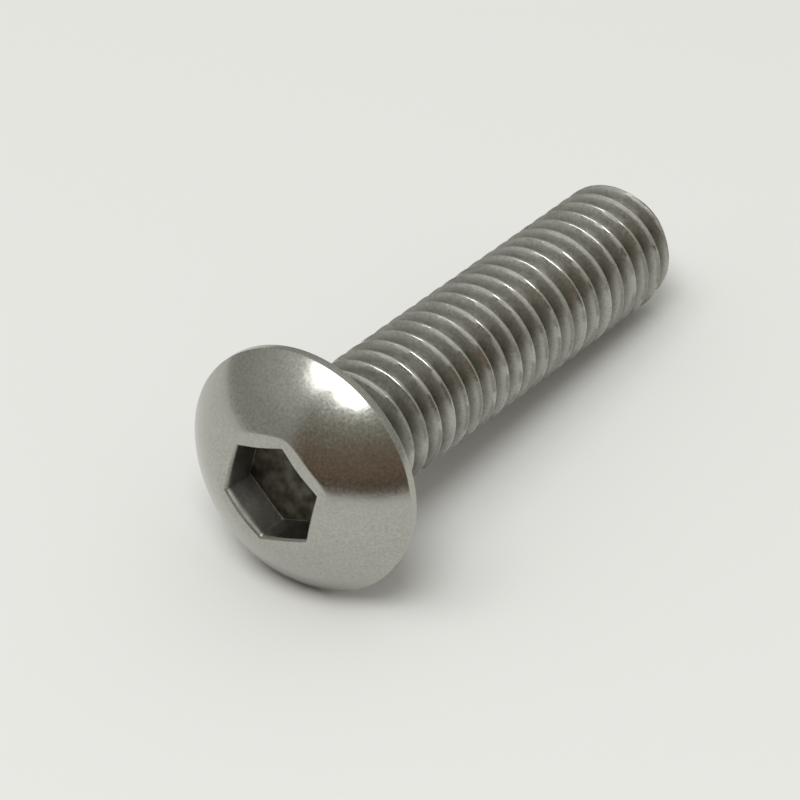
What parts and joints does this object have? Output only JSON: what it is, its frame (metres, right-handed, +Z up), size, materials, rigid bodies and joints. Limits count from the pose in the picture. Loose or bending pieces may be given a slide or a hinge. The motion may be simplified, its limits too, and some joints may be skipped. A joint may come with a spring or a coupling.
{
  "type": "machine screw",
  "caption": "Stainless steel machine screw with a low domed head, a hexagon socket and a thread that runs right up to the head, lying on its side.",
  "frame": {"origin": "on the surface that the screw lies on, below the middle of its length", "axes": "+X along the screw towards the tip, in plan; +Z up. The screw's own axis leans 6.3 degrees down towards +X, because the head's rim holds that end up"},
  "size_m": [0.0134, 0.0054, 0.0054],
  "materials": {
    "stainless": "satin, lightly grained cold-formed stainless steel"
  },
  "bodies": {
    "root": {"screw": "stainless"}
  },
  "joints": []
}
